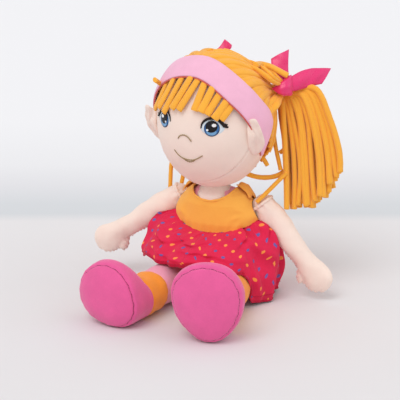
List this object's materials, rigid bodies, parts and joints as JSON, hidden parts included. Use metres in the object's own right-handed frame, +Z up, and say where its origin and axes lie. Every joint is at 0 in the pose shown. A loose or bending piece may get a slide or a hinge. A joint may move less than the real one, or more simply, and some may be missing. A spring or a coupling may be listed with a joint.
{
  "type": "rag doll",
  "caption": "Seated stuffed cloth doll with cord hair in two pigtails, a headband with ribbon bows, a dress with a dotted skirt, and soft boots.",
  "frame": {"origin": "on the floor, in the flat of the seat under the middle of the torso", "axes": "+Z up, -Y the way the doll faces, +X towards its own left hand"},
  "size_m": [0.1977, 0.1856, 0.1956],
  "materials": {
    "skin": "matt woven cotton",
    "pink_cloth": "matt woven cotton",
    "filling": "loose polyester stuffing",
    "hair": "soft stuffed cord",
    "headband": "soft knit",
    "ribbon": "satin",
    "yoke_cloth": "matt knit",
    "skirt_cloth": "printed cotton with small round dots",
    "cuff_cloth": "matt knit",
    "boot_cloth": "matt brushed cloth",
    "eye_white": "satin embroidery",
    "iris": "satin embroidery",
    "pupil": "satin embroidery",
    "face_thread": "embroidery thread"
  },
  "bodies": {
    "torso": {"torso_cover": "pink_cloth", "torso_filling": "filling", "dress_yoke_front": "yoke_cloth", "dress_yoke_back": "yoke_cloth", "shoulder_tab_left": "yoke_cloth", "shoulder_tab_right": "yoke_cloth", "skirt": "skirt_cloth"},
    "neck": {"neck_cover": "skin", "neck_filling": "filling"},
    "head": {"head_face_panel": "skin", "head_back_panel": "skin", "head_filling": "filling", "ear_left": "skin", "ear_right": "skin", "eye_white_left": "eye_white", "eye_white_right": "eye_white", "iris_left": "iris", "iris_right": "iris", "pupil_left": "pupil", "pupil_right": "pupil", "lashes_left": "pupil", "lashes_right": "pupil", "nose_stitching": "face_thread", "mouth_stitching": "face_thread", "hair_cap": "hair", "fringe_left": "hair", "fringe_right": "hair", "headband": "headband", "bow_left": "ribbon", "bow_right": "ribbon"},
    "pigtail_left": {"pigtail_left": "hair"},
    "pigtail_right": {"pigtail_right": "hair"},
    "shoulder_left": {"shoulder_seam_left": "skin"},
    "arm_left": {"arm_cover_left": "skin", "arm_filling_left": "filling"},
    "hip_left": {"hip_seam_left": "pink_cloth"},
    "leg_left": {"leg_cover_left": "pink_cloth", "leg_filling_left": "filling", "cuff_left": "cuff_cloth", "boot_upper_left": "boot_cloth", "boot_sole_left": "boot_cloth"},
    "shoulder_right": {"shoulder_seam_right": "skin"},
    "arm_right": {"arm_cover_right": "skin", "arm_filling_right": "filling"},
    "hip_right": {"hip_seam_right": "pink_cloth"},
    "leg_right": {"leg_cover_right": "pink_cloth", "leg_filling_right": "filling", "cuff_right": "cuff_cloth", "boot_upper_right": "boot_cloth", "boot_sole_right": "boot_cloth"}
  },
  "joints": [
    {"name": "neck_turn", "type": "hinge", "parent": "torso", "child": "neck", "pos_m": [0, -0.015, 0.094], "axis": [0, 0, 1], "range_deg": [-60, 60]},
    {"name": "neck_nod", "type": "hinge", "parent": "neck", "child": "head", "pos_m": [0, -0.015, 0.094], "axis": [0.9936, -0.1132, 0], "range_deg": [-12, 8]},
    {"name": "pigtail_left_lift", "type": "hinge", "parent": "head", "child": "pigtail_left", "pos_m": [0.04975, 0.00651, 0.165], "axis": [-0.1132, -0.9936, 0], "range_deg": [-5, 45]},
    {"name": "pigtail_right_lift", "type": "hinge", "parent": "head", "child": "pigtail_right", "pos_m": [-0.04364, 0.01715, 0.165], "axis": [0.1132, 0.9936, 0], "range_deg": [-5, 45]},
    {"name": "shoulder_left_swing", "type": "hinge", "parent": "torso", "child": "shoulder_left", "pos_m": [0.038, -0.007, 0.071], "axis": [-1, 0, 0], "range_deg": [-30, 120], "deforming": ["skirt"]},
    {"name": "shoulder_left_raise", "type": "hinge", "parent": "shoulder_left", "child": "arm_left", "pos_m": [0.038, -0.007, 0.071], "axis": [0, -1, 0], "range_deg": [-10, 60], "deforming": ["skirt"]},
    {"name": "hip_left_spread", "type": "hinge", "parent": "torso", "child": "hip_left", "pos_m": [0.021, -0.02, 0.016], "axis": [0, 0, 1], "range_deg": [-5, 20], "deforming": ["skirt"]},
    {"name": "hip_left_swing", "type": "hinge", "parent": "hip_left", "child": "leg_left", "pos_m": [0.021, -0.02, 0.016], "axis": [0.9744, 0.225, 0], "range_deg": [0, 90], "deforming": ["skirt"]},
    {"name": "shoulder_right_swing", "type": "hinge", "parent": "torso", "child": "shoulder_right", "pos_m": [-0.038, -0.007, 0.071], "axis": [1, 0, 0], "range_deg": [-120, 30], "deforming": ["skirt"]},
    {"name": "shoulder_right_raise", "type": "hinge", "parent": "shoulder_right", "child": "arm_right", "pos_m": [-0.038, -0.007, 0.071], "axis": [0, -1, 0], "range_deg": [-60, 10], "deforming": ["skirt"]},
    {"name": "hip_right_spread", "type": "hinge", "parent": "torso", "child": "hip_right", "pos_m": [-0.021, -0.02, 0.016], "axis": [0, 0, -1], "range_deg": [-3, 20], "deforming": ["skirt"]},
    {"name": "hip_right_swing", "type": "hinge", "parent": "hip_right", "child": "leg_right", "pos_m": [-0.021, -0.02, 0.016], "axis": [0.9981, -0.061, 0], "range_deg": [0, 90], "deforming": ["skirt"]}
  ]
}
